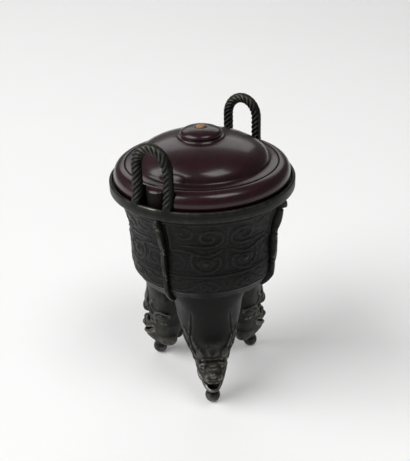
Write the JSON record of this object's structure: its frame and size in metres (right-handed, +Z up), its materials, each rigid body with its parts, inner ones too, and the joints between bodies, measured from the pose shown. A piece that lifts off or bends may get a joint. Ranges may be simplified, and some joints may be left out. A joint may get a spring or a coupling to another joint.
{
  "type": "tripod_censer",
  "caption": "Dark bronze tripod censer with relief masks, notched flanges, rope-twist loop handles and beast-head legs on ball feet, under a turned dark hardwood cover.",
  "frame": {"origin": "on the vertical axis, on the plane that the three ball feet stand on", "axes": "+Z up along the bowl's axis; the two loop handles stand on the X axis"},
  "size_m": [0.105, 0.105, 0.1688],
  "materials": {
    "bronze": "dark brown-black patina, worn to olive brass on the handles and muzzles",
    "hardwood": "polished dark red-purple hardwood",
    "amber_plug": "dull amber-brown plug, worn"
  },
  "bodies": {
    "root": {"bronze_casting": "bronze", "wooden_cover": "hardwood", "knob_plug": "amber_plug"}
  },
  "joints": []
}
